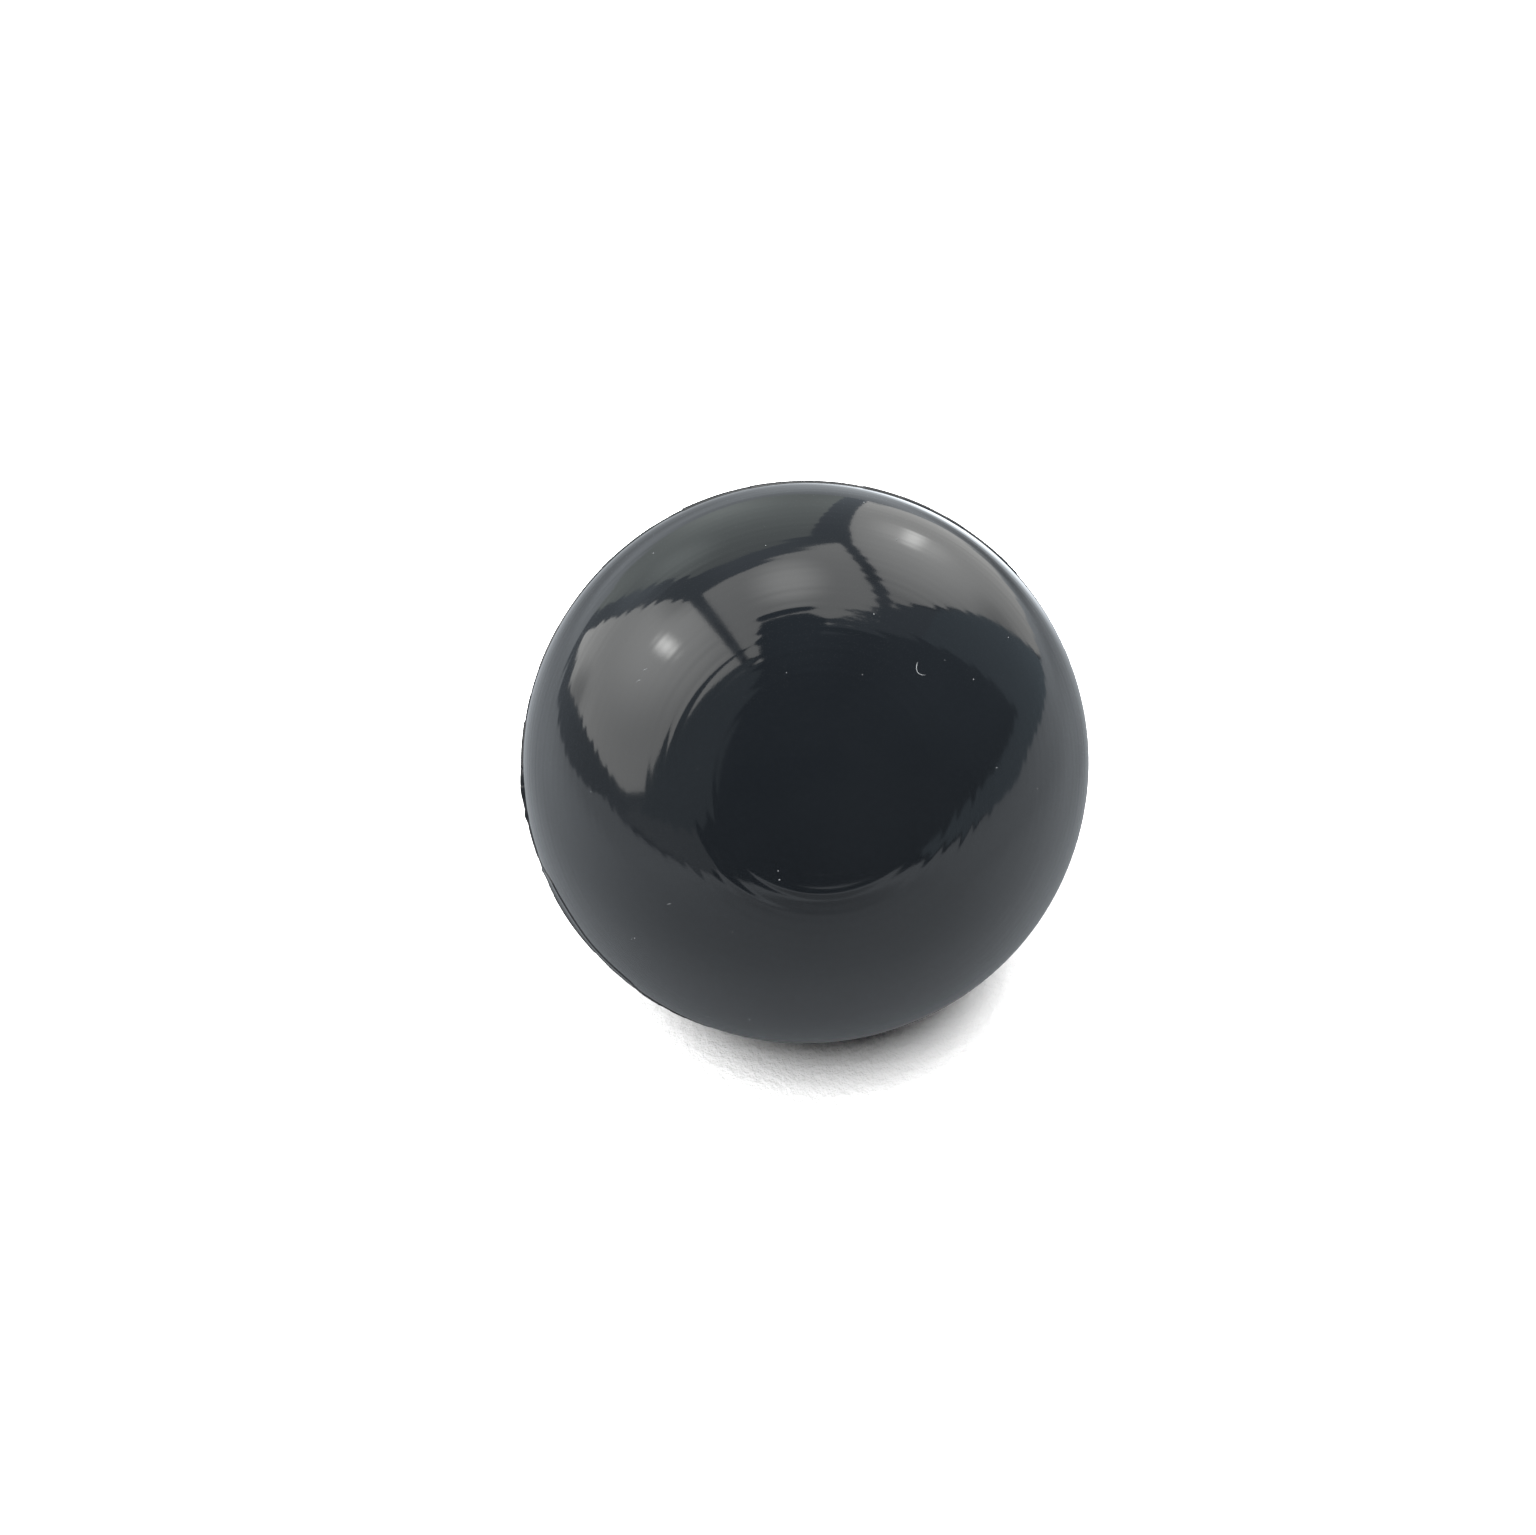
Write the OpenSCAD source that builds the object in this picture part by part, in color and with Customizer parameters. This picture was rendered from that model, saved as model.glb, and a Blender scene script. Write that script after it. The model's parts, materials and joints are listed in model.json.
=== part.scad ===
// Friction ball for opening watch cases: an air-filled ball of soft, tacky rubber. It is pressed
// on a screwed case back and turned by hand. Two moulded half shells are bonded along bevelled
// lips, and a needle valve at the rear pole holds the air.
//
// Millimetres. The origin is the centre of the ball, and +Z is up as the ball lies. Each sub-part
// is drawn about the moulding axis, with the front pole on +Z, and then laid on the ground.

/* [Ball] */
// Outside diameter of the inflated ball
ball_d = 65; // [50:1:80]
// Thickness of the rubber wall
wall_t = 5; // [4:0.5:8]
// Angle between the moulding axis and the vertical as the ball lies
lie_tilt = 44; // [0:1:90]

/* [Seam] */
// Slope of the bevelled lips where the two shells meet
lip_angle = 30; // [0:1:45]
// Thickness of the bonding gum between the lips
gum_t = 0.3; // [0.2:0.05:0.6]
// Width of the ridge that stands along the outside of the seam
ridge_w = 1; // [0.7:0.1:2]
// Height of that ridge above the ball
ridge_h = 0.25; // [0.1:0.05:0.3]
// Width of the gum squeezed out along the inside of the seam
squeeze_w = 1.6; // [0.8:0.1:3]
// Height of the gum squeezed out along the inside of the seam
squeeze_h = 0.4; // [0.1:0.1:0.4]

/* [Valve boot] */
// Diameter of the nose that fills the hole in the rear shell
nose_d = 8; // [7.5:0.5:10]
// Diameter of the flange that is bonded inside the rear shell
flange_d = 20; // [14:1:24]
// Thickness of the flange
flange_t = 1.5; // [1:0.25:2.5]
// Diameter of the stem that reaches into the ball
stem_d = 9; // [8:0.5:10]
// Length of the stem beyond the flange
stem_l = 11; // [9:0.5:14]
// Thickness of the end wall that keeps the core in the stem
end_wall_t = 2; // [1:0.25:3]
// Diameter of the air hole through the end wall
vent_d = 2; // [1:0.25:3]

/* [Needle port] */
// Diameter of the port for an inflating needle
port_d = 2.1; // [1.8:0.05:2.4]
// Depth of the port, from the surface of the ball to the core
port_l = 3; // [2:0.25:4]
// Depth of the lead-in at the mouth of the port
lead_l = 0.4; // [0.2:0.1:0.8]

/* [Valve core] */
// Diameter of the soft core, and of its chamber
core_d = 5.4; // [4:0.2:6]
// Depth of the dimple that guides the needle to the slit
dimple_l = 1.2; // [0.5:0.1:2]
// Width of the slit at the two ends of the core
slit_w = 0.2; // [0.1:0.05:0.4]
// Length of the slit across the core
slit_l = 3; // [1.5:0.25:3.5]
// Depth to which the slit shows open at each end
slit_h = 0.6; // [0.2:0.1:1]

/* [Hidden] */
$fn = 96;

outer_r = ball_d / 2;
inner_r = outer_r - wall_t;
past = 1;                                        // how far a cutting shape runs past its face
flange_in_r = inner_r - flange_t;                // radius of the inside face of the flange
stem_end = flange_in_r - stem_l;                 // height of the inner end of the stem
chamber_low = stem_end + end_wall_t;             // height of the core's inner end
chamber_top = outer_r - port_l;                  // height of the core's outer end
shell_black = [0.085, 0.095, 0.105];
gum_black = [0.13, 0.135, 0.14];
boot_black = [0.17, 0.17, 0.175];
core_black = [0.24, 0.235, 0.23];

// Radius of an arc that rises by h over a chord of width w
function crown_r(w, h) = (w * w / 4 + h * h) / (2 * h);

// Height of the joint's middle cone at radius r. Its outer edge is on the mould's parting plane.
function lip_z(r, shift = 0) = (r - outer_r) * tan(lip_angle) + shift / cos(lip_angle);

// Turns the moulding axis from upright to how the ball lies
module laid() {
    rotate([lie_tilt, 0, 0]) children();
}

// Turns a shape drawn outwards along +Z so that it points out of the rear pole
module at_rear_pole() {
    rotate([180, 0, 0]) children();
}

// The full hollow ball, before it is parted
module ball_wall() {
    difference() {
        sphere(r = outer_r);
        sphere(r = inner_r);
    }
}

// Everything on one side of the bevelled joint: side is -1 for below it and 1 for above it
module beyond_lip(side, shift) {
    rotate_extrude()
        polygon([
            [0, lip_z(0, shift)],
            [0, side * ball_d],
            [ball_d, side * ball_d],
            [ball_d, lip_z(ball_d, shift)]
        ]);
}

module front_shell() {
    color(shell_black)
        laid()
            difference() {
                ball_wall();
                beyond_lip(-1, gum_t / 2);
            }
}

module rear_shell() {
    color(shell_black)
        laid()
            difference() {
                ball_wall();
                beyond_lip(1, -gum_t / 2);
                at_rear_pole() cylinder(h = outer_r + past, r = nose_d / 2);
            }
}

// The web of gum between the lips, in section, reaching halfway into the two beads
module web_section() {
    intersection() {
        polygon([
            [0, lip_z(0, -gum_t / 2)],
            [ball_d, lip_z(ball_d, -gum_t / 2)],
            [ball_d, lip_z(ball_d, gum_t / 2)],
            [0, lip_z(0, gum_t / 2)]
        ]);
        difference() {
            circle(r = outer_r + ridge_h / 2);
            circle(r = inner_r - squeeze_h / 2);
        }
    }
}

// The low ridge on the outside of the seam, in section
module ridge_section() {
    crown = crown_r(ridge_w, ridge_h);
    difference() {
        translate([outer_r + ridge_h - crown, 0]) circle(r = crown);
        circle(r = outer_r);
    }
}

// The gum squeezed out on the inside of the seam, in section
module squeeze_section() {
    crown = crown_r(squeeze_w, squeeze_h);
    intersection() {
        translate([inner_r - squeeze_h + crown, lip_z(inner_r)]) circle(r = crown);
        circle(r = inner_r);
    }
}

module seam_gum() {
    color(gum_black)
        laid()
            rotate_extrude() {
                web_section();
                ridge_section();
                squeeze_section();
            }
}

// A flange that follows the inside of the ball
module boot_flange() {
    intersection() {
        difference() {
            sphere(r = inner_r);
            sphere(r = flange_in_r);
        }
        cylinder(h = ball_d, r = flange_d / 2);
    }
}

// A nose that ends flush with the outside of the ball
module boot_nose() {
    intersection() {
        sphere(r = outer_r);
        translate([0, 0, chamber_low]) cylinder(h = ball_d, r = nose_d / 2);
    }
}

module boot_stem() {
    translate([0, 0, stem_end])
        cylinder(h = stem_l + flange_t / 2, r = stem_d / 2);
}

// The stepped hole from the needle port, through the core's chamber, to the vent
module boot_hole() {
    port_r = port_d / 2;
    translate([0, 0, chamber_low]) cylinder(h = ball_d, r = port_r);
    translate([0, 0, outer_r - lead_l])
        cylinder(h = lead_l + past, r1 = port_r, r2 = port_r + lead_l + past);
    translate([0, 0, chamber_low]) cylinder(h = chamber_top - chamber_low, r = core_d / 2);
    translate([0, 0, stem_end - past]) cylinder(h = end_wall_t + 2 * past, r = vent_d / 2);
}

module valve_boot() {
    color(boot_black)
        laid()
            at_rear_pole()
                difference() {
                    union() {
                        boot_flange();
                        boot_nose();
                        boot_stem();
                    }
                    boot_hole();
                }
}

// One mouth of the slit, cut across the core at height z
module slit_mouth(z) {
    translate([-slit_l / 2, -slit_w / 2, z - slit_h])
        cube([slit_l, slit_w, 2 * slit_h]);
}

module valve_core() {
    color(core_black)
        laid()
            at_rear_pole()
                difference() {
                    translate([0, 0, chamber_low])
                        cylinder(h = chamber_top - chamber_low, r = core_d / 2);
                    translate([0, 0, chamber_top - dimple_l])
                        cylinder(h = dimple_l, r1 = slit_w / 2, r2 = port_d / 2);
                    slit_mouth(chamber_top);
                    slit_mouth(chamber_top - dimple_l);
                    slit_mouth(chamber_low);
                }
}

front_shell();
rear_shell();
seam_gum();
valve_boot();
valve_core();
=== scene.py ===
"""The case opening friction ball on a white sheet: its rubber, its trimmed seam and its valve."""
import itertools
import json
import math

import bmesh
import bpy
import numpy as np
from mathutils import Matrix, Vector


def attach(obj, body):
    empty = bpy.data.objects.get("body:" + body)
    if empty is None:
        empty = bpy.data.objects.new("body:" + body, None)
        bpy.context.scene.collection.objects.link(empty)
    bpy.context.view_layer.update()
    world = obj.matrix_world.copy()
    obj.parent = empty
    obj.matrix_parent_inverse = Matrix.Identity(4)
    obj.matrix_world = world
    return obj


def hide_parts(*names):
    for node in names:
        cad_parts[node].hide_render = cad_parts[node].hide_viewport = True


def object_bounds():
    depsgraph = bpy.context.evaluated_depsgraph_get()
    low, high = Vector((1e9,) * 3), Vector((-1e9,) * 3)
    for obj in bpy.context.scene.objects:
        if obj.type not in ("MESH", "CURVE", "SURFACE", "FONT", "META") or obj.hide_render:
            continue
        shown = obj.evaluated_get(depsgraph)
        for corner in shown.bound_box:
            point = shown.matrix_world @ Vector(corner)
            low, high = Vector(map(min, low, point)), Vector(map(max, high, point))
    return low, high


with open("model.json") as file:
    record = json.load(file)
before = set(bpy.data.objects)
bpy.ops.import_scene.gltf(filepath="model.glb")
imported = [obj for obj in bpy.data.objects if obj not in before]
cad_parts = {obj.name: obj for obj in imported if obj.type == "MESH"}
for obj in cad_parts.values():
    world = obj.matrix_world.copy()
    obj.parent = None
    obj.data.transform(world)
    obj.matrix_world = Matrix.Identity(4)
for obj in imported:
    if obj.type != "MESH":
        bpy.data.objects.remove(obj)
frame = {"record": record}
CAD_LOW, CAD_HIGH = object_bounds()

# ---------------------------------------------------------------- sizes, in metres

MM = 0.001
MOUNTS = {mount["name"]: mount for mount in frame["record"]["mounts"]}
BALL_R = MOUNTS["palm_grip"]["pos_m"][2]            # outside radius of the ball
WALL_T = 5.0 * MM                                   # thickness of the rubber wall
INNER_R = BALL_R - WALL_T
FRONT_POLE = -Vector(MOUNTS["needle_port"]["axis"]).normalized()
PORT_R = MOUNTS["needle_port"]["dims"]["r_mm"] * MM
FLOOR_Z = CAD_LOW.z

LIP_SLOPE = math.tan(math.radians(30))              # bevel of the two lips
GUM_T = 0.3 * MM                                    # gum between the lips
NOSE_R = 4.0 * MM                                   # valve boot's nose
FLANGE_R = 10.0 * MM                                # bonded to the inside of the wall
FLANGE_T = 1.5 * MM
STEM_R = 4.5 * MM
STEM_L = 11.0 * MM
END_WALL_T = 2.0 * MM                               # between the core and the inside of the ball
VENT_R = 1.0 * MM                                   # hole through the end wall
PORT_L = 3.0 * MM                                   # needle port, with a bevel at its mouth
LEAD_L = 0.4 * MM
CORE_R = 2.7 * MM
DIMPLE_L = 1.2 * MM                                 # guides the needle to the slit
SLIT_W = 0.2 * MM
SLIT_L = 3.0 * MM
SLIT_H = 0.6 * MM                                   # how deep its two mouths are open
FLANGE_IN_R = INNER_R - FLANGE_T
STEM_END = FLANGE_IN_R - STEM_L                     # distance of the stem's inner end from the centre
CHAMBER_LOW = STEM_END + END_WALL_T
CHAMBER_TOP = BALL_R - PORT_L

# The moulding frame: +Z through the front pole, +X shared with the row frame.
MOULD_X = Vector((1, 0, 0))
MOULD_Y = FRONT_POLE.cross(MOULD_X).normalized()
MOULD_TO_ROW = np.array([MOULD_X, MOULD_Y, FRONT_POLE]).T


# ---------------------------------------------------------------- shape of the moulding

OVAL, SKEW = 0.15, 0.04                             # mm off a true sphere, oval about the mould axis
OVAL_MEAN = 0.48                                    # of OVAL, added all round
PEAR = 0.03                                         # mm, fuller towards one side of a pole
LONG_WAVE, SHORT_WAVE = 0.012, 0.008                # mm
RING_SETS = ((1.3, 1.0, 0.0), (0.86, 0.55, 1.3), (2.9, 0.7, 0.7))    # pitch in mm, share, phase
RING_DEPTH = 2.8e-3                                 # mm
RING_FADE_IN = 6                                    # mm from the pole, where the rings reach full depth
DEEP_RINGS = (6, 11, 16, 21)                        # mm from the pole: deeper from the first to the last
RELIEF_START = INNER_R + 0.3 * WALL_T               # from the centre: no relief below, all of it above
RELIEF_FULL = BALL_R - 0.05 * WALL_T
PLAIN_BAND = (1.5 * MM, 4.0 * MM)                   # from the seam: no rings, then all of them


def fade(value, start, end):
    """0 before start, 1 after end, smooth between."""
    t = np.clip((value - start) / (end - start), 0, 1)
    return t * t * (3 - 2 * t)


def swell(x, y, z):
    """How far the inflated ball stands off a true sphere, for a unit direction in the moulding frame."""
    oval = OVAL * (x * x - y * y + OVAL_MEAN) + SKEW * x * y
    pear = PEAR * z * (x + 0.6 * y)
    waves = LONG_WAVE * np.sin(5 * x + 1.0) * np.cos(4 * y - 0.5) + SHORT_WAVE * np.sin(7 * y + 3 * z)
    return (oval + pear + waves) * MM


def turning_rings(polar, azimuth):
    """The lathe marks that the mould left: rings about the pole, a few micrometres high."""
    along = BALL_R * polar / MM
    wander = 0.12 * np.sin(azimuth + 0.4) + 0.05 * np.sin(3 * azimuth)
    turns = 2 * np.pi * (along + wander)
    rings = sum(share * np.sin(turns / pitch + phase) for pitch, share, phase in RING_SETS)
    patches = 0.65 + 0.35 * np.sin(2 * azimuth + 0.21 * along) * np.sin(0.33 * along + 1.1)
    deep = fade(along, *DEEP_RINGS[:2]) * (1 - fade(along, *DEEP_RINGS[2:]))
    depth = RING_DEPTH * np.clip(along / RING_FADE_IN, 0.2, 1) * (1 + deep * (1.8 - 0.7 * np.cos(azimuth)))
    return rings * patches * depth * MM


def relief(radius, height, azimuth, ringed):
    """Unit directions of points, and their distances with the relief added. ringed is 1 where rings show."""
    length = np.hypot(radius, height)
    x, y, z = radius * np.cos(azimuth) / length, radius * np.sin(azimuth) / length, height / length
    outer = fade(length, RELIEF_START, RELIEF_FULL)
    polar = np.arccos(np.clip(np.abs(z), 0, 1))
    off_seam = fade(np.abs(height), *PLAIN_BAND)
    offset = swell(x, y, z) + ringed * off_seam * turning_rings(polar, azimuth)
    return x, y, z, length + outer * offset


# ---------------------------------------------------------------- mesh helpers

ON_AXIS = 1e-9                                      # a radius below this is a pole


def face_outwards(mesh):
    """A mesh whose faces look inwards is turned inside out."""
    shape = bmesh.new()
    shape.from_mesh(mesh)
    if shape.calc_volume(signed=True) < 0:
        bmesh.ops.reverse_faces(shape, faces=shape.faces)
        shape.to_mesh(mesh)
    shape.free()
    mesh.update()


def mesh_object(name, points, faces, sharp_angle=35.0):
    """A smooth shaded object. Edges that turn by more than sharp_angle, in degrees, stay sharp."""
    mesh = bpy.data.meshes.new(name)
    mesh.from_pydata(points, [], faces)
    mesh.validate()
    face_outwards(mesh)
    piece = bpy.data.objects.new(name, mesh)
    bpy.context.scene.collection.objects.link(piece)
    mesh.shade_smooth()
    mesh.set_sharp_from_angle(angle=math.radians(sharp_angle))
    return piece


def lathe(name, profile, segments, ringed=1.0):
    """Turns a profile of (radius, height) points about the mould axis. It is closed, or ends in two poles."""
    radius = np.array([p[0] for p in profile])[:, None]
    height = np.array([p[1] for p in profile])[:, None]
    azimuth = np.linspace(0, 2 * np.pi, segments, endpoint=False)[None, :]
    radius, height, azimuth = np.broadcast_arrays(radius, height, azimuth)
    x, y, z, length = relief(radius, height, azimuth, ringed)
    grid = np.stack([x * length, y * length, z * length], -1) @ MOULD_TO_ROW.T
    points, rows = [], []
    for row, (r, _) in enumerate(profile):
        if r < ON_AXIS:
            rows.append([len(points)] * segments)
            points.append(tuple(grid[row].mean(0)))
        else:
            rows.append(list(range(len(points), len(points) + segments)))
            points.extend(map(tuple, grid[row]))
    closed = profile[0][0] > ON_AXIS
    pairs = list(zip(rows, rows[1:] + rows[:1])) if closed else list(zip(rows, rows[1:]))
    faces = []
    for low, high in pairs:
        for i in range(segments):
            j = (i + 1) % segments
            ring = [low[i], low[j], high[j], high[i]]
            face = [v for k, v in enumerate(ring) if v != ring[k - 1]]
            if len(face) > 2:
                faces.append(face)
    return mesh_object(name, points, faces)


def arc(r, start, end, count):
    """Points on a circle of radius r about the centre, from one polar angle to another."""
    return [(r * math.sin(a), r * math.cos(a)) for a in np.linspace(start, end, count)]


def line(start, end, count):
    """Points between two (radius, height) points, without the first and the last."""
    return [
        (start[0] + (end[0] - start[0]) * k / count, start[1] + (end[1] - start[1]) * k / count)
        for k in range(1, count)
    ]


def lip_polar(r, shift):
    """Polar angle at which a lip, moved along its normal by shift, meets the sphere of radius r."""
    rise = shift / math.cos(math.atan(LIP_SLOPE))
    low, high = math.radians(80), math.radians(100)
    for _ in range(50):
        middle = (low + high) / 2
        above = r * math.cos(middle) > (r * math.sin(middle) - BALL_R) * LIP_SLOPE + rise
        low, high = (middle, high) if above else (low, middle)
    return low


# ---------------------------------------------------------------- materials

DRIFT_SCALE, HAZE_SCALE = 45, 90                    # noise cells per metre: colour drift, and gloss
RUBBER_IOR = 1.5
# Pale colour painted on the raised marks: a painted highlight.
PAINTED_HIGHLIGHT = (0.13, 0.135, 0.14)


def new_material(name):
    """A material with its nodes, links and Principled shader."""
    material = bpy.data.materials.new(name)
    material.use_nodes = True
    nodes = material.node_tree.nodes
    return material, nodes, material.node_tree.links, nodes["Principled BSDF"]


def noise(nodes, links, coords, scale, detail, roughness=0.5):
    """A noise value at coords, from 0 to 1."""
    node = nodes.new("ShaderNodeTexNoise")
    node.inputs["Scale"].default_value = scale
    node.inputs["Detail"].default_value = detail
    node.inputs["Roughness"].default_value = roughness
    links.new(coords, node.inputs["Vector"])
    return node.outputs["Fac"]


def spread(nodes, links, value, low, high, to_low, to_high):
    """The value, stretched from the range low to high to the range to_low to to_high."""
    node = nodes.new("ShaderNodeMapRange")
    for key, number in zip(("From Min", "From Max", "To Min", "To Max"), (low, high, to_low, to_high)):
        node.inputs[key].default_value = number
    links.new(value, node.inputs["Value"])
    return node.outputs["Result"]


def rubber(name, dark, light, smooth, rough, bump_height, grain):
    """Rubber: its colour drifts from dark to light, its gloss from smooth to rough, with a fine grain."""
    material, nodes, links, shader = new_material(name)
    coords = nodes.new("ShaderNodeTexCoord").outputs["Object"]
    drift = noise(nodes, links, coords, DRIFT_SCALE, 3)
    colour = nodes.new("ShaderNodeMix")
    colour.data_type = "RGBA"
    colour.inputs["A"].default_value = (*dark, 1)
    colour.inputs["B"].default_value = (*light, 1)
    links.new(spread(nodes, links, drift, 0.35, 0.65, 0, 1), colour.inputs["Factor"])
    links.new(colour.outputs["Result"], shader.inputs["Base Color"])
    haze = noise(nodes, links, coords, HAZE_SCALE, 4, 0.65)
    links.new(spread(nodes, links, haze, 0.3, 0.7, smooth, rough), shader.inputs["Roughness"])
    shader.inputs["IOR"].default_value = RUBBER_IOR
    texture = noise(nodes, links, coords, 1 / grain, 3, 0.6)
    bump = nodes.new("ShaderNodeBump")
    bump.inputs["Strength"].default_value = 1.0
    bump.inputs["Distance"].default_value = bump_height
    links.new(texture, bump.inputs["Height"])
    links.new(bump.outputs["Normal"], shader.inputs["Normal"])
    return material


def with_painted_highlight(material):
    """Where the mesh says "mark", the rubber is painted pale: a painted highlight on the raised marks."""
    nodes, links = material.node_tree.nodes, material.node_tree.links
    socket = nodes["Principled BSDF"].inputs["Base Color"]
    mark = nodes.new("ShaderNodeAttribute")
    mark.attribute_name = "mark"
    colour = nodes.new("ShaderNodeMix")
    colour.data_type = "RGBA"
    links.new(mark.outputs["Fac"], colour.inputs["Factor"])
    links.new(socket.links[0].from_socket, colour.inputs["A"])
    colour.inputs["B"].default_value = (*PAINTED_HIGHLIGHT, 1)
    links.new(colour.outputs["Result"], socket)
    return material


SHELL_RUBBER = with_painted_highlight(
    rubber(
        "shell_rubber", dark=(0.0028, 0.0034, 0.0042), light=(0.0038, 0.0045, 0.0054),
        smooth=0.05, rough=0.1, bump_height=1.8e-6, grain=0.5 * MM,
    )
)
SEAM_RUBBER = rubber(
    "seam_rubber", dark=(0.0035, 0.004, 0.005), light=(0.006, 0.0065, 0.0075),
    smooth=0.1, rough=0.2, bump_height=3e-6, grain=0.2 * MM,
)
VALVE_RUBBER = rubber(
    "valve_rubber", dark=(0.007, 0.0075, 0.008), light=(0.010, 0.0105, 0.011),
    smooth=0.14, rough=0.26, bump_height=3e-6, grain=0.25 * MM,
)
CORE_RUBBER = rubber(
    "core_rubber", dark=(0.02, 0.019, 0.018), light=(0.028, 0.027, 0.025),
    smooth=0.4, rough=0.6, bump_height=5e-6, grain=0.2 * MM,
)


def dress(piece, material, node):
    """The piece takes a CAD node's place and its body."""
    piece.data.materials.append(material)
    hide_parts(node)
    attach(piece, "root")
    return piece


# ---------------------------------------------------------------- the half shells

RING_STEP = 0.21 * MM                               # spacing of rows, fine enough for the rings
SHELL_SEGMENTS = 320
INNER_ROWS = 40
BEAD_SIDES = 8
BEAD_END = 0.45                                     # how thin a line's ends are
HOOK_PLACE = (28.5, 46.5)                           # polar angle and azimuth in degrees, as for the rest
# The hooked line, in mm right of and above its place.
HOOK = ((0.25, 0.7), (0.1, 0.35), (0, 0), (0.03, -0.35), (0.22, -0.6), (0.55, -0.72), (0.95, -0.7))
HOOK_R, DASH_R = 0.043 * MM, 0.026 * MM
DASHES = ((43.0, 145.0), (43.0, 148.5), (40.8, 215.7))
DASH_STEP = (0.3, 0.1)                              # mm right and up, from point to point
GRAINS = ((36.8, 29.5), (22, 105), (18.7, 239), (52, 99), (49, 180))
SCATTERED_GRAINS = 16
GRAIN_R = (0.04, 0.085)                             # mm, smallest and largest


def rows_along(start, end):
    """How many rows an arc of the outside takes."""
    return max(2, int(abs(end - start) * BALL_R / RING_STEP))


def on_ball(polar, azimuth):
    """A point on the outside of the ball; angles in degrees in the moulding frame."""
    p, a = math.radians(polar), math.radians(azimuth)
    direction = np.array([math.sin(p) * math.cos(a), math.sin(p) * math.sin(a), math.cos(p)])
    return Vector(MOULD_TO_ROW @ (direction * (BALL_R + swell(*direction))))


def beside(polar, azimuth, right, up):
    """The point on the ball that is right and up, in mm, of the one at polar and azimuth."""
    a = math.radians(azimuth)
    out = (right * math.cos(a) + up * math.sin(a)) * MM / BALL_R
    turn = (right * math.sin(a) - up * math.cos(a)) * MM / (BALL_R * math.sin(math.radians(polar)))
    return on_ball(polar + math.degrees(out), azimuth - math.degrees(turn))


def bead_line(shape, points, radius):
    """A thin closed tube along points, half sunk in the surface."""
    rings = []
    angles = [2 * math.pi * j / BEAD_SIDES for j in range(BEAD_SIDES)]
    for k, point in enumerate(points):
        along = (points[min(k + 1, len(points) - 1)] - points[max(k - 1, 0)]).normalized()
        up = point.normalized()
        across = along.cross(up).normalized()
        thin = radius * (BEAD_END if k in (0, len(points) - 1) else 1.0)
        ring = [point + (across * math.cos(t) + up * math.sin(t)) * thin for t in angles]
        rings.append([shape.verts.new(place) for place in ring])
    for low, high in zip(rings, rings[1:]):
        for j in range(BEAD_SIDES):
            after = (j + 1) % BEAD_SIDES
            shape.faces.new([high[j], high[after], low[after], low[j]])
    shape.faces.new(rings[0])
    shape.faces.new(rings[-1][::-1])


def add_marks(piece):
    """Small raised marks on the front shell, painted pale as a highlight: one hooked line, three dashes, some
    grains.
    """
    shape = bmesh.new()
    shape.from_mesh(piece.data)
    own = len(shape.verts)
    bead_line(shape, [beside(*HOOK_PLACE, right, up) for right, up in HOOK], HOOK_R)
    for polar, azimuth in DASHES:
        steps = [(DASH_STEP[0] * k, DASH_STEP[1] * k) for k in range(3)]
        bead_line(shape, [beside(polar, azimuth, right, up) for right, up in steps], DASH_R)
    draws = np.random.default_rng(21)
    grains = list(GRAINS)
    grains += [(draws.uniform(8, 70), draws.uniform(0, 360)) for _ in range(SCATTERED_GRAINS)]
    for polar, azimuth in grains:
        size = draws.uniform(*GRAIN_R) * MM
        place = Matrix.Translation(on_ball(polar, azimuth))
        bmesh.ops.create_icosphere(shape, subdivisions=2, radius=size, matrix=place)
    for face in shape.faces:
        face.smooth = True
    shape.verts.index_update()
    # The mark attribute is 1 on the raised marks, where the painted highlight goes.
    mark = shape.verts.layers.float.new("mark")
    for vertex in shape.verts:
        vertex[mark] = float(vertex.index >= own)
    shape.to_mesh(piece.data)
    shape.free()


def make_front_shell():
    """The half with the front pole, from the pole to the gum, with its marks."""
    outside = lip_polar(BALL_R, GUM_T / 2)
    inside = lip_polar(INNER_R, GUM_T / 2)
    outer = arc(BALL_R, 0, outside, rows_along(0, outside))
    inner = arc(INNER_R, inside, 0, INNER_ROWS)
    profile = outer + line(outer[-1], inner[0], 4) + inner
    piece = lathe("front_shell_skin", profile, SHELL_SEGMENTS)
    add_marks(piece)
    return dress(piece, SHELL_RUBBER, "front_shell")


def make_rear_shell():
    """The other half, from the gum to the hole for the valve."""
    outside = lip_polar(BALL_R, -GUM_T / 2)
    inside = lip_polar(INNER_R, -GUM_T / 2)
    hole_out = math.pi - math.asin(NOSE_R / BALL_R)
    hole_in = math.pi - math.asin(NOSE_R / INNER_R)
    outer = arc(BALL_R, outside, hole_out, rows_along(outside, hole_out))
    inner = arc(INNER_R, hole_in, inside, INNER_ROWS)
    profile = outer + line(outer[-1], inner[0], 6) + inner + line(inner[-1], outer[0], 4)
    piece = lathe("rear_shell_skin", profile, SHELL_SEGMENTS)
    return dress(piece, SHELL_RUBBER, "rear_shell")


make_front_shell()
make_rear_shell()


# ---------------------------------------------------------------- the seam

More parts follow.
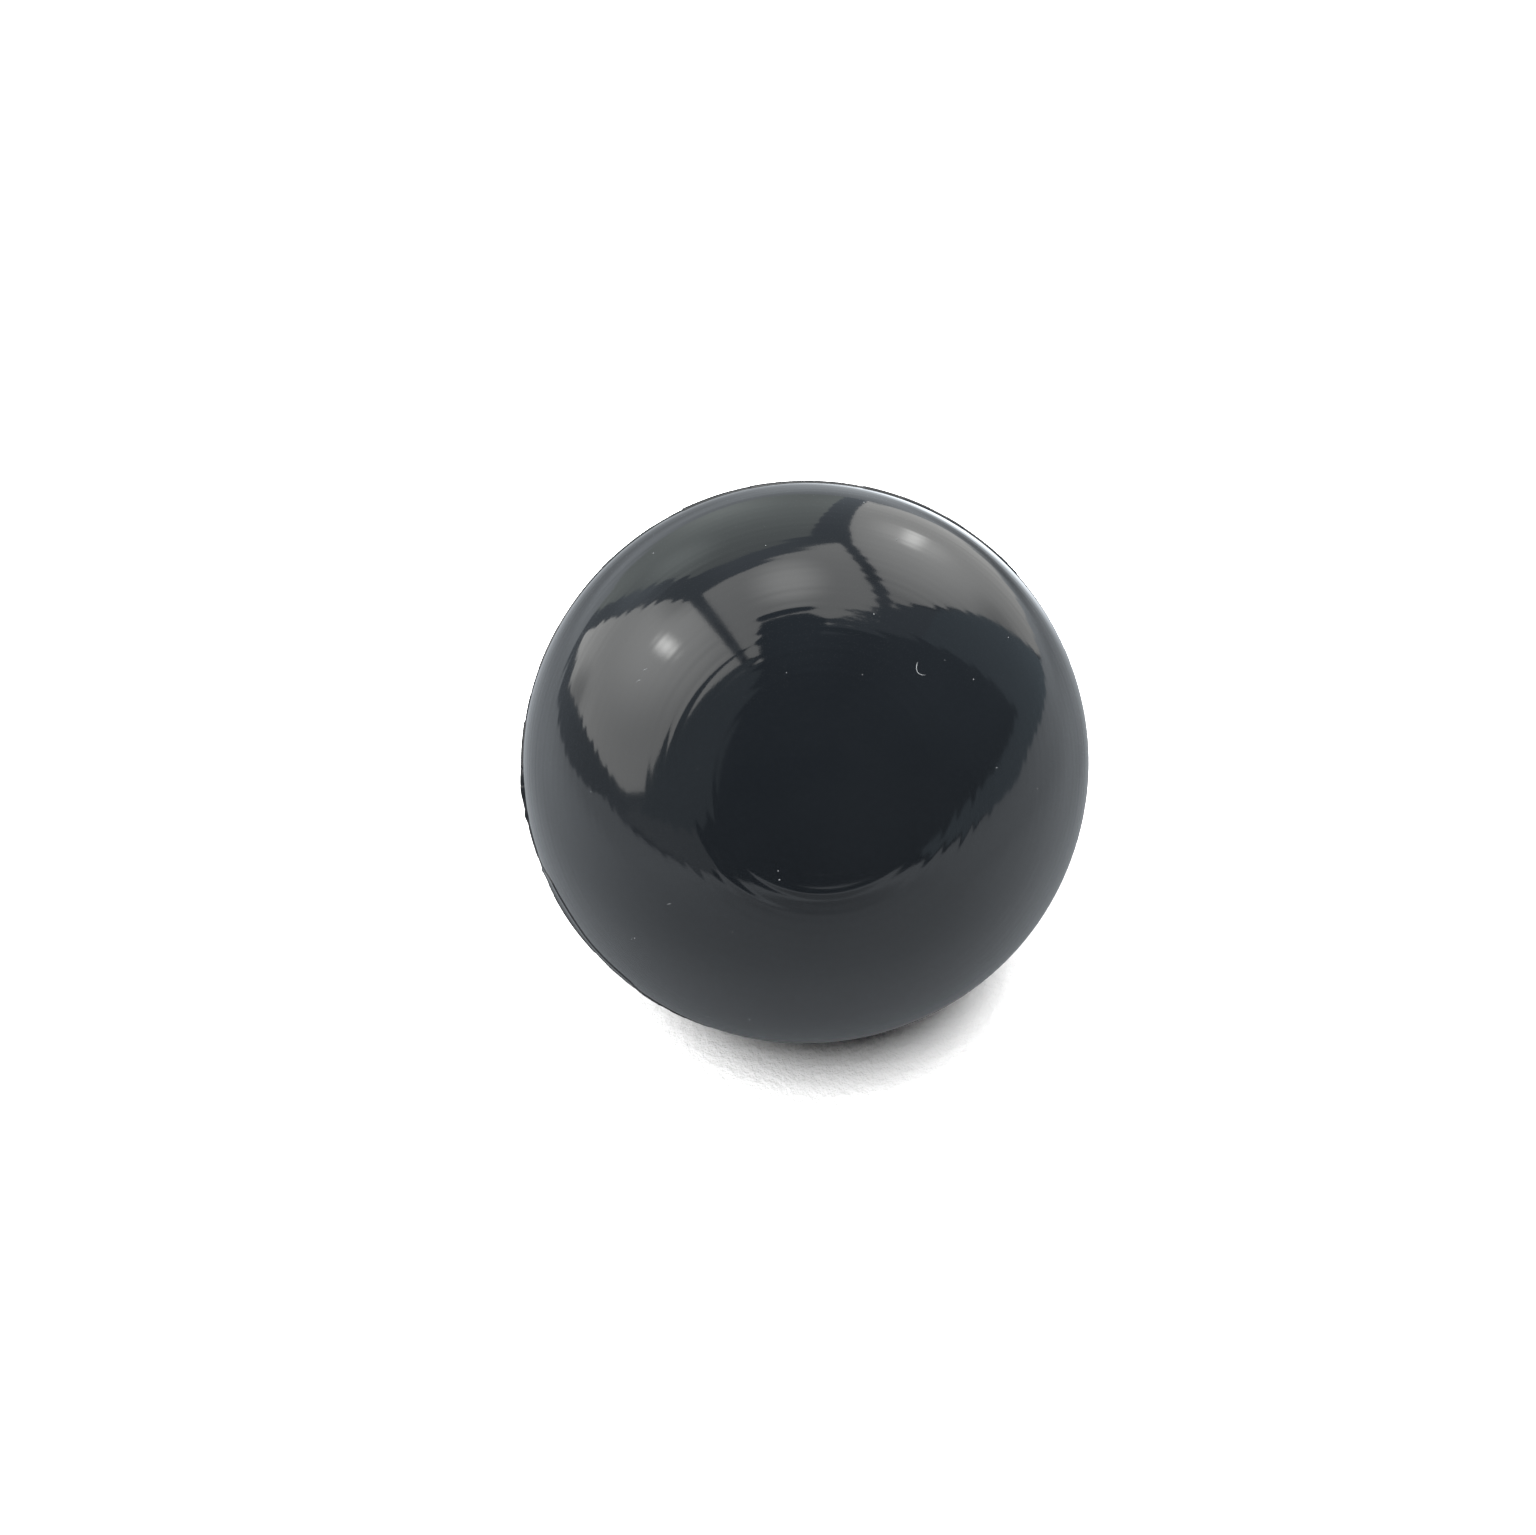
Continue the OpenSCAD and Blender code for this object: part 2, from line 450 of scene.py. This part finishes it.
SEAM_SEGMENTS = 1440
CUTS = 120
CUT_WIDTH = (1.5, 6.0)                              # degrees, narrowest and widest
RIDGE_TALL, RIDGE_HALF_W = 0.24, 0.45               # mm, before the changes along the seam
RIDGE_LIMITS = (0.08, 0.45)                         # mm
RIDGE_SKIRT = 0.22                                  # mm from the crest's edge to the foot
FLASH_W, FLASH_T = 6.2, 0.1                         # mm, the flat tongue of flash low on the left
FLASH_SLOPE = 0.035                                 # mm, how much it thickens at each fold towards the ridge
FLASH_WHOLE_W = 1.5                                 # mm, the width from which it is full thickness
LIP_SHARES = (0.9995, 0.97, 0.93, 0.885)            # of the ball's radius, down the lips
BEAD_H, BEAD_HALF_W = 0.4 * MM, 0.8 * MM            # the bead of gum inside


def hump(angle, middle, reach):
    """1 at an angle round the mould axis, in degrees, falling smoothly to 0 at reach from it."""
    away = np.abs((angle - middle + 180) % 360 - 180)
    return 1 - fade(away, 0, reach)


def between(angle, start, end, soft=0.6):
    """1 from start to end, in degrees, with short ramps."""
    return fade(angle, start, start + soft) * (1 - fade(angle, end - soft, end))


def knife_cuts(angle):
    """The ridge's crest was trimmed by hand: short cuts, each at its own height from -1 to 1."""
    draws = np.random.default_rng(7)
    edges = np.cumsum(draws.uniform(*CUT_WIDTH, CUTS))
    heights = draws.uniform(-1, 1, CUTS)
    return heights[np.searchsorted(edges, angle)]


def seam_numbers():
    """Angle in degrees from +X, and the ridge's height, half width and flash in mm there."""
    angle = np.linspace(0, 360, SEAM_SEGMENTS, endpoint=False)
    cuts = knife_cuts(angle)
    tall = RIDGE_TALL + 0.08 * between(angle, 38, 75) - 0.1 * between(angle, 112, 168)
    tall = tall + 0.2 * hump(angle, 180.5, 5) + 0.16 * hump(angle, 187, 1.5) + 0.14 * hump(angle, 198.5, 1.2)
    tall = tall + 0.12 * between(angle, 199, 227.5, 0.3) * (0.6 + 0.4 * np.sin(np.radians(angle * 9)))
    rough = 0.02 + 0.035 * between(angle, 160, 240, 4)
    wide_end = between(angle, 228, 248, 3)
    tall = np.clip(tall + rough * cuts, *RIDGE_LIMITS) + 0.08 * wide_end
    crest = RIDGE_HALF_W + 0.25 * between(angle, 30, 70, 8) + 0.45 * wide_end + 0.06 * cuts
    reach = between(angle, 194, 233, 7)
    flash = FLASH_W * reach + 0.25 * reach * np.sin(np.radians(angle * 23))
    return angle, tall, crest, flash


def seam_section(tall, crest, flash):
    """(offset towards the front pole, height above the ball) in mm, along the outside, front to rear."""
    full = min(flash / FLASH_WHOLE_W, 1)
    foot = crest + RIDGE_SKIRT + flash
    step = FLASH_T * full
    low = FLASH_SLOPE * full
    rise = 0.05 * tall * (1 - full)
    middle = crest + 0.2 + 0.02 * full + 0.5 * flash
    return [
        (foot + 0.1, -0.03),
        (foot, 0.0),
        (foot - 0.01 - 0.06 * full, step + rise),
        (middle + 0.07 * full, step + low + 2 * rise),
        (middle - 0.01 * (1 - full), step + 2 * low + 3 * rise),
        (crest + 0.16, 0.3 * tall + step),
        (crest, max(tall, step + 2 * low)),
        (crest - 0.12, tall + 0.015),
        (0.0, tall + 0.02),
        (-crest + 0.12, tall),
        (-crest, tall - 0.03),
        (-crest - 0.2, 0.3 * tall),
        (-crest - 0.3, 0.0),
        (-crest - 0.4, -0.03),
    ]


def seam_web():
    """(radius, height) of the gum between the lips: down the rear lip, round the bead, up the front lip."""
    half = GUM_T / 2
    points = []
    for shift, shares in ((-half, LIP_SHARES), (half, LIP_SHARES[::-1])):
        for share in shares:
            r = BALL_R * share
            polar = lip_polar(r, shift)
            points.append((r * math.sin(polar), r * math.cos(polar)))
    middle = lip_polar(INNER_R - 0.05 * MM, 0)
    bead = []
    for turn in np.linspace(-1, 1, 9):
        r = INNER_R + 0.02 * MM - BEAD_H * math.cos(turn * math.pi / 2)
        polar = middle - turn * BEAD_HALF_W / INNER_R
        bead.append((r * math.sin(polar), r * math.cos(polar)))
    return points[:len(LIP_SHARES)] + bead + points[len(LIP_SHARES):]


def make_seam():
    """The gum: the ridge outside, the web between the lips and the bead inside, section by section."""
    angle, tall, crest, flash = seam_numbers()
    web = seam_web()
    sections = []
    for t, c, f in zip(tall, crest, flash):
        outside = []
        for along, height in seam_section(t, c, f):
            polar = math.pi / 2 - along * MM / BALL_R
            r = BALL_R + height * MM
            outside.append((r * math.sin(polar), r * math.cos(polar)))
        sections.append(outside + web)
    grid = np.array(sections)
    radius, height = grid[:, :, 0], grid[:, :, 1]
    azimuth = np.broadcast_to(np.radians(angle)[:, None], radius.shape)
    x, y, z, length = relief(radius, height, azimuth, 0.0)
    place = np.stack([x * length, y * length, z * length], -1) @ MOULD_TO_ROW.T
    count, size = radius.shape
    faces = []
    for k in range(count):
        here, there = k * size, (k + 1) % count * size
        faces += [[here + j, here + (j + 1) % size, there + (j + 1) % size, there + j] for j in range(size)]
    piece = mesh_object("seam_ridge", place.reshape(-1, 3).tolist(), faces, sharp_angle=50)
    return dress(piece, SEAM_RUBBER, "seam_gum")


make_seam()


# ---------------------------------------------------------------- the valve

VALVE_SEGMENTS, CORE_SEGMENTS = 160, 96
MOUTH_RING_W, MOUTH_RING_H = 0.55 * MM, 0.14 * MM   # the low ring round the needle port
EASE, SMALL_EASE = 0.5 * MM, 0.15 * MM              # eased edges of the boot
CORE_GAP = 0.02 * MM                                # between the core and its chamber
CORE_EASE = 0.2 * MM


def valve_boot_profile():
    """Closed outline of the boot: (radius, distance from the centre along the rear pole)."""
    crown = math.asin((NOSE_R - 0.05 * MM) / BALL_R)
    mouth = PORT_R + LEAD_L
    ring = mouth + MOUTH_RING_W
    outline = [(PORT_R, CHAMBER_TOP)]
    outline += line((PORT_R, CHAMBER_TOP), (PORT_R, BALL_R - LEAD_L), 5)
    outline += [(PORT_R, BALL_R - LEAD_L), (PORT_R + 0.7 * LEAD_L, BALL_R - 0.2 * LEAD_L)]
    for share in np.linspace(0, 1, 9):
        lift = MOUTH_RING_H * math.sin(share * math.pi)
        r = mouth + (ring - mouth) * share
        outline.append((r, math.sqrt(BALL_R**2 - r * r) + lift))
    outline += [
        (BALL_R * math.sin(a), BALL_R * math.cos(a))
        for a in np.linspace(math.asin((ring + 0.1 * MM) / BALL_R), crown, 14)
    ]
    rim = math.sqrt(BALL_R**2 - NOSE_R**2)
    outline += [(NOSE_R - 0.01 * MM, rim - 0.06 * MM)]
    outline += line((NOSE_R, rim - 0.06 * MM), (NOSE_R, math.sqrt(INNER_R**2 - NOSE_R**2)), 8)
    spread_out = np.linspace(math.asin(NOSE_R / INNER_R), math.asin(FLANGE_R / INNER_R) - 0.004, 12)
    outline += [(INNER_R * math.sin(a), INNER_R * math.cos(a)) for a in spread_out]
    edge_out = math.asin(FLANGE_R / INNER_R)
    middle = (INNER_R + FLANGE_IN_R) / 2
    outline += [(middle * math.sin(edge_out), middle * math.cos(edge_out))]
    root = STEM_R + EASE
    spread_in = np.linspace(math.asin(FLANGE_R / FLANGE_IN_R) - 0.006, math.asin(root / FLANGE_IN_R), 10)
    outline += [(FLANGE_IN_R * math.sin(a), FLANGE_IN_R * math.cos(a)) for a in spread_in]
    neck = math.sqrt(FLANGE_IN_R**2 - root**2) - EASE
    outline += [(STEM_R + SMALL_EASE, neck + SMALL_EASE), (STEM_R, neck)]
    outline += line((STEM_R, neck), (STEM_R, STEM_END + EASE), 12)
    outline += [(STEM_R, STEM_END + EASE), (STEM_R - SMALL_EASE, STEM_END + SMALL_EASE)]
    outline += [(STEM_R - EASE, STEM_END), (VENT_R + 0.2 * MM, STEM_END), (VENT_R, STEM_END + 0.2 * MM)]
    outline += [(VENT_R, CHAMBER_LOW), (CORE_R, CHAMBER_LOW)]
    outline += line((CORE_R, CHAMBER_LOW), (CORE_R, CHAMBER_TOP), 10)
    outline += [(CORE_R, CHAMBER_TOP)]
    return outline


def make_valve_boot():
    """The boot, turned about the rear pole: nose, flange, stem, chamber, port and vent."""
    profile = [(r, -h) for r, h in valve_boot_profile()]
    piece = lathe("valve_boot_nose", profile, VALVE_SEGMENTS, ringed=0.0)
    return dress(piece, VALVE_RUBBER, "valve_boot")


def cut_away(piece, cutters):
    """Cuts closed boxes, each (low corner, high corner) in the moulding frame, out of the piece."""
    for low, high in cutters:
        spans = zip(low, high)
        corners = list(itertools.product(*spans))
        points = (np.array(corners) @ MOULD_TO_ROW.T).tolist()
        sides = [[0, 1, 3, 2], [4, 6, 7, 5], [0, 4, 5, 1], [2, 3, 7, 6], [0, 2, 6, 4], [1, 5, 7, 3]]
        cutter = mesh_object("cutter", points, sides)
        modifier = piece.modifiers.new("cut", "BOOLEAN")
        modifier.operation = "DIFFERENCE"
        modifier.solver = "EXACT"
        modifier.object = cutter
        graph = bpy.context.evaluated_depsgraph_get()
        mesh = bpy.data.meshes.new_from_object(piece.evaluated_get(graph))
        piece.modifiers.remove(modifier)
        piece.data = mesh
        bpy.data.objects.remove(cutter)


def make_valve_core():
    """A plug of soft rubber, with a dimple that guides the needle to a slit."""
    low, high = CHAMBER_LOW + CORE_GAP, CHAMBER_TOP - CORE_GAP
    side = CORE_R - CORE_GAP
    outline = [(0.0, low), (side - CORE_EASE, low), (side, low + CORE_EASE)]
    outline += line((side, low + CORE_EASE), (side, high - CORE_EASE), 12)
    outline += [(side, high - CORE_EASE), (side - CORE_EASE, high), (PORT_R + 0.1 * MM, high)]
    outline += [(PORT_R - 0.05 * MM, high - 0.06 * MM), (0.35 * MM, high - DIMPLE_L + 0.15 * MM)]
    outline += [(0.0, high - DIMPLE_L)]
    piece = lathe("valve_core_plug", [(r, -h) for r, h in outline], CORE_SEGMENTS, ringed=0.0)
    half_l, half_w = SLIT_L / 2, SLIT_W / 2
    mouths = ((high - DIMPLE_L - SLIT_H, high + SLIT_H), (low - SLIT_H, low + SLIT_H))
    cut_away(piece, [((-half_l, -half_w, -top), (half_l, half_w, -bottom)) for bottom, top in mouths])
    return dress(piece, CORE_RUBBER, "valve_core")


make_valve_boot()
make_valve_core()


# ---------------------------------------------------------------- the floor and the light

def stage_only(thing, camera=False, glossy=False, diffuse=False, shadow=False):
    """A part of the set, seen only by the kinds of ray that are named."""
    thing.visible_camera = camera
    thing.visible_glossy = glossy
    thing.visible_diffuse = diffuse
    thing.visible_transmission = False
    thing.visible_volume_scatter = False
    thing.visible_shadow = shadow
    return thing


def towards(azimuth, elevation, distance):
    """A point seen from the ball. Azimuth 0 is +Y and 90 is +X; angles are in degrees."""
    a, e = math.radians(azimuth), math.radians(elevation)
    return Vector((math.sin(a) * math.cos(e), math.cos(a) * math.cos(e), math.sin(e))) * distance


def glow(name, colour, strength, spots=()):
    """An emitting material. Each spot is (place, change, reach): what is added at the place, and how far."""
    material = bpy.data.materials.new(name)
    material.use_nodes = True
    material.cycles.emission_sampling = "NONE"
    nodes, links = material.node_tree.nodes, material.node_tree.links
    nodes.clear()
    emission = nodes.new("ShaderNodeEmission")
    emission.inputs["Color"].default_value = (*colour, 1)
    emission.inputs["Strength"].default_value = strength
    output = nodes.new("ShaderNodeOutputMaterial")
    links.new(emission.outputs[0], output.inputs["Surface"])
    total = None
    for place, change, reach in spots:
        coords = nodes.new("ShaderNodeTexCoord").outputs["Object"]
        away = nodes.new("ShaderNodeVectorMath")
        away.operation = "DISTANCE"
        away.inputs[1].default_value = place
        links.new(coords, away.inputs[0])
        ramp = nodes.new("ShaderNodeMapRange")
        ramp.interpolation_type = "SMOOTHERSTEP"
        ramp.inputs["From Min"].default_value = 0
        ramp.inputs["From Max"].default_value = reach
        ramp.inputs["To Min"].default_value = change
        ramp.inputs["To Max"].default_value = 0
        links.new(away.outputs["Value"], ramp.inputs["Value"])
        add = nodes.new("ShaderNodeMath")
        add.operation = "ADD"
        add.inputs[1].default_value = strength
        if total is not None:
            links.new(total, add.inputs[1])
        links.new(ramp.outputs["Result"], add.inputs[0])
        total = add.outputs["Value"]
    if total is not None:
        links.new(total, emission.inputs["Strength"])
    return material


PANEL_DISTANCE = 0.6
FRAME_DISTANCE = 0.7                                # behind the window's panels
ROOM_R = 2.0
STEPS = (-2, -1, 0, 1, 2)                           # along each long glare


def panel(name, corners, material):
    """A glowing panel, mirrored in the ball. corners are (azimuth, elevation) in degrees, in order."""
    mesh = bpy.data.meshes.new(name)
    shape = bmesh.new()
    shape.faces.new([shape.verts.new(towards(a, e, PANEL_DISTANCE)) for a, e in corners])
    bmesh.ops.triangulate(shape, faces=shape.faces[:])
    bmesh.ops.subdivide_edges(shape, edges=shape.edges[:], cuts=5, use_grid_fill=True)
    for vertex in shape.verts:
        vertex.co = vertex.co.normalized() * PANEL_DISTANCE
    shape.to_mesh(mesh)
    shape.free()
    mesh.materials.append(material)
    piece = bpy.data.objects.new(name, mesh)
    bpy.context.scene.collection.objects.link(piece)
    return stage_only(piece, glossy=True)


def spot(azimuth, elevation, change, reach, distance=PANEL_DISTANCE):
    """A spot for glow, placed as seen from the ball."""
    return (towards(azimuth, elevation, distance), change, reach)


WINDOW = (1.0, 1.0, 0.98)
panel(
    "left_window",
    [
        (-42, -8), (-44, 11), (-42, 25), (-41, 36.3), (-80.5, 66.5), (-94, 50), (-100, 38),
        (-104.5, 23), (-108, 12), (-102, 6), (-80, 2.5), (-66, -2), (-56, -8),
    ],
    glow(
        "left_window",
        WINDOW,
        2.35,
        [spot(-62, 37, 1.5, 0.36), spot(-42, 33, -0.9, 0.12), spot(-60, -4, -1.1, 0.12)]
        + [spot(-62.2 - 1.3 * k, 36.8 + 1.4 * k, 2.6, 0.055) for k in STEPS],
    ),
)
panel(
    "top_window",
    [
        (-37, 39.5), (-18, 42), (-1, 39), (11, 33.5), (14.5, 31), (46, 53.4), (54, 57), (46, 69), (28, 71),
        (7, 68), (-9, 67.5), (-34, 65), (-59, 71), (-76, 73.5), (-76, 69),
    ],
    glow("top_window", WINDOW, 2.15, [spot(-4, 54, 1.7, 0.18)]),
)
panel(
    "right_window",
    [
        (13.5, -17), (14, 5), (15, 19), (18.5, 30.3), (49.3, 49), (54, 34), (53.5, 20), (55, 10),
        (57, -1), (56, -11), (42, -17),
    ],
    glow(
        "right_window",
        WINDOW,
        1.4,
        [spot(36, 26, 1.3, 0.38), spot(28, 11, 0.7, 0.14), spot(56, 8, -0.42, 0.13)]
        + [spot(27.8 + 0.55 * k, 10.8 + 2.2 * k, 1.2, 0.045) for k in STEPS],
    ),
)


def window_frame():
    """The dark frame round the window's lights, as a patch of a sphere behind them."""
    azimuths, elevations = range(-110, 51, 5), range(-22, 67, 4)
    points = [tuple(towards(a, e, FRAME_DISTANCE)) for e in elevations for a in azimuths]
    count = len(azimuths)
    faces = [
        [row * count + k, row * count + k + 1, (row + 1) * count + k + 1, (row + 1) * count + k]
        for row in range(len(elevations) - 1)
        for k in range(count - 1)
    ]
    piece = mesh_object("window_frame", points, faces)
    changes = ((-12, 36, 0.2, 0.3), (-36, 12, 0.3, 0.2), (-50, 56, -0.15, 0.15), (28, 43, -0.15, 0.15))
    spots = [spot(*change, FRAME_DISTANCE) for change in changes]
    piece.data.materials.append(glow("window_frame", (0.8, 0.9, 1.0), 0.4, spots))
    return stage_only(piece, glossy=True)


window_frame()
panel(
    "low_wall",
    [(-37, -14), (-37, 6), (-35, 16), (-30, 30), (-21, 34), (-8, 34), (6, 28), (9, 9), (11, -14)],
    glow(
        "low_wall",
        (0.92, 1.0, 0.97),
        0.84,
        [
            spot(-27, 17, 0.45, 0.16), spot(5, -12, -0.4, 0.2), spot(-22, -12, -0.3, 0.2),
            spot(4, 4, -0.1, 0.14),
        ],
    ),
)
RIGHT_WALL = glow("right_wall", (0.76, 0.94, 1.08), 0.46)
panel(
    "right_wall",
    [(57, -11), (57, 10), (55.3, 20), (56, 34), (71, 46), (75, 28), (79, 12), (82, 6), (80, -11)],
    RIGHT_WALL,
)
panel(
    "far_right_wall",
    [(80, -11), (82, 6), (98, 6), (120, 9), (143, 5), (143, 2), (106, -1), (95, -4)],
    RIGHT_WALL,
)
panel(
    "high_wall",
    [(56, 34), (49, 50), (57, 57), (46, 69), (28, 71), (24, 77), (60, 65), (71, 46)],
    glow("high_wall", (0.8, 0.92, 1.05), 0.4),
)
panel(
    "left_wall",
    [
        (-80, 67), (-94, 50), (-100, 38), (-104.5, 23), (-108, 12), (-110, 5), (-134, 12), (-136, 26),
        (-130, 41), (-118, 64), (-83, 75),
    ],
    glow("left_wall", (0.8, 0.95, 1.05), 0.36),
)
panel(
    "left_wedge",
    [(-105, -1), (-109, 8), (-134, 12), (-143, 5), (-143, -1)],
    glow("left_wedge", (0.85, 0.93, 1.0), 0.5),
)


def sheet_mirror():
    """A glowing stand-in for the paper that the ball mirrors, in metres from the ball: a painted shadow under
    the ball, a painted pool of light towards the window.
    """
    corners = [
        (-0.6, -1.5), (1.0, -1.5), (1.0, -0.05), (0.45, 0.06), (0.24, 0.095), (0.19, 0.14), (0.11, 0.15),
        (0.085, 0.175), (0.085, 0.3), (-0.2, 0.3), (-0.165, 0.16), (-0.15, 0.095), (-0.21, 0.05),
        (-0.35, -0.002), (-0.6, -0.045),
    ]
    points = [(x, y, FLOOR_Z) for x, y in corners]
    piece = mesh_object("sheet_mirror", points, [list(range(len(points)))])
    # Painted shade and light on the sheet: the ball's shadow painted dark under it, a painted bright patch
    # towards the window, darker and lighter patches further off.
    changes = [
        (0, 0, -0.68, 0.07),
        (0, 0, -0.27, 0.27),
        (0, -0.35, -0.5, 0.34),
        (0.035, 0.088, 1.45, 0.043),
        (0.052, 0.066, 0.25, 0.022),
        (0.1, 0.095, -0.35, 0.07),
        (0.08, 0.135, -0.4, 0.055),
        (0.07, 0.045, -0.2, 0.05),
        (0.0, 0.3, -0.5, 0.27),
        (-0.04, 0.13, -0.35, 0.09),
        (-0.09, 0.1, -0.15, 0.08),
        (-0.07, 0.055, -0.12, 0.06),
        (-0.06, 0.02, -0.12, 0.06),
        (0.055, 0.015, -0.18, 0.045),
        (-0.13, 0.0, 0.25, 0.12),
        (0.1, -0.04, 0.15, 0.08),
    ]
    spots = [((x, y, FLOOR_Z), change, reach) for x, y, change, reach in changes]
    piece.data.materials.append(glow("sheet_mirror", (0.91, 0.97, 1.03), 1.0, spots))
    return stage_only(piece, glossy=True)


sheet_mirror()


def room_mirror():
    """The dim room all round, a little lighter on the right and above."""
    bpy.ops.mesh.primitive_uv_sphere_add(segments=64, ring_count=32, radius=ROOM_R)
    room = bpy.context.object
    room.name = "room_mirror"
    spots = [spot(80, 30, 0.1, 2.0, ROOM_R), spot(0, 75, 0.1, 1.0, ROOM_R)]
    room.data.materials.append(glow("room_mirror", (0.7, 0.88, 1.06), 0.12, spots))
    return stage_only(room, glossy=True)


room_mirror()


FLOOR_R = 3.0
PAPER_GLOW = (0.1, 0.5)                             # from the ball: where the glow starts, and is whole
PAPER_BUMP, PAPER_GRAIN = 0.4 * MM, 1.1 * MM


def make_floor():
    """White paper. Away from the ball, where the softbox reaches less, it glows so that it stays white."""
    place = (0, 0, FLOOR_Z)
    bpy.ops.mesh.primitive_circle_add(vertices=128, radius=FLOOR_R, fill_type="NGON", location=place)
    floor = bpy.context.object
    floor.name = "floor"
    material, nodes, links, shader = new_material("white_paper")
    shader.inputs["Base Color"].default_value = (0.9, 0.9, 0.9, 1)
    shader.inputs["Roughness"].default_value = 0.9
    shader.inputs["Specular IOR Level"].default_value = 0.0
    shader.inputs["Emission Color"].default_value = (1, 1, 1, 1)
    coords = nodes.new("ShaderNodeTexCoord").outputs["Object"]
    away = nodes.new("ShaderNodeVectorMath")
    away.operation = "LENGTH"
    links.new(coords, away.inputs[0])
    strength = spread(nodes, links, away.outputs["Value"], *PAPER_GLOW, 0, 1)
    links.new(strength, shader.inputs["Emission Strength"])
    bump = nodes.new("ShaderNodeBump")
    bump.inputs["Strength"].default_value = 1.0
    bump.inputs["Distance"].default_value = PAPER_BUMP
    links.new(noise(nodes, links, coords, 1 / PAPER_GRAIN, 3, 0.6), bump.inputs["Height"])
    links.new(bump.outputs["Normal"], shader.inputs["Normal"])
    floor.data.materials.append(material)
    return stage_only(floor, camera=True, diffuse=True, shadow=True)


make_floor()


LIGHT_SIZE = (1.71, 1.81)                           # metres
LIGHT_PLACE = (-0.18, 0.15, 1.0)
LIGHT_WATTS = 86


def make_overhead_light():
    """A broad round softbox high over the ball, so that the shadow is short and soft."""
    data = bpy.data.lights.new("overhead", "AREA")
    data.shape = "ELLIPSE"
    data.size, data.size_y = LIGHT_SIZE
    data.energy = LIGHT_WATTS
    light = bpy.data.objects.new("overhead", data)
    bpy.context.scene.collection.objects.link(light)
    light.location = LIGHT_PLACE
    light.visible_camera = False
    light.visible_glossy = False


make_overhead_light()


def make_world():
    """A white distance behind the floor. Only the camera sees it."""
    world = bpy.data.worlds.new("pale_room")
    bpy.context.scene.world = world
    world.use_nodes = True
    back = world.node_tree.nodes["Background"]
    back.inputs["Color"].default_value = (1, 1, 1, 1)
    back.inputs["Strength"].default_value = 1.0
    world.cycles_visibility.diffuse = False
    world.cycles_visibility.glossy = False


make_world()


# ---------------------------------------------------------------- the camera

LENS, SENSOR_W = 65.0, 36.0                         # mm
BALL_SHARE = 0.366                                  # the ball's width over the frame's
CAMERA_AZIMUTH = -5.0
CAMERA_ELEVATION = 50.0
CAMERA_SHIFT = (-0.0247396, -0.0029297)             # of the frame's width: the ball stands a little right


def make_camera():
    """The photograph's view: from above the front, at the distance that gives the ball its share."""
    data = bpy.data.cameras.new("camera")
    data.lens = LENS
    data.sensor_width = SENSOR_W
    data.clip_start, data.clip_end = 0.01, 20.0
    data.shift_x, data.shift_y = CAMERA_SHIFT
    camera = bpy.data.objects.new("camera", data)
    bpy.context.scene.collection.objects.link(camera)
    slope = BALL_SHARE * SENSOR_W / 2 / LENS
    distance = BALL_R * math.sqrt(1 + 1 / slope**2)
    a, e = math.radians(CAMERA_AZIMUTH), math.radians(CAMERA_ELEVATION)
    back = Vector((math.sin(a) * math.cos(e), -math.cos(a) * math.cos(e), math.sin(e)))
    camera.location = back * distance
    camera.rotation_euler = (-back).to_track_quat("-Z", "Y").to_euler()
    bpy.context.scene.camera = camera


make_camera()
bpy.context.scene.view_settings.view_transform = "Standard"
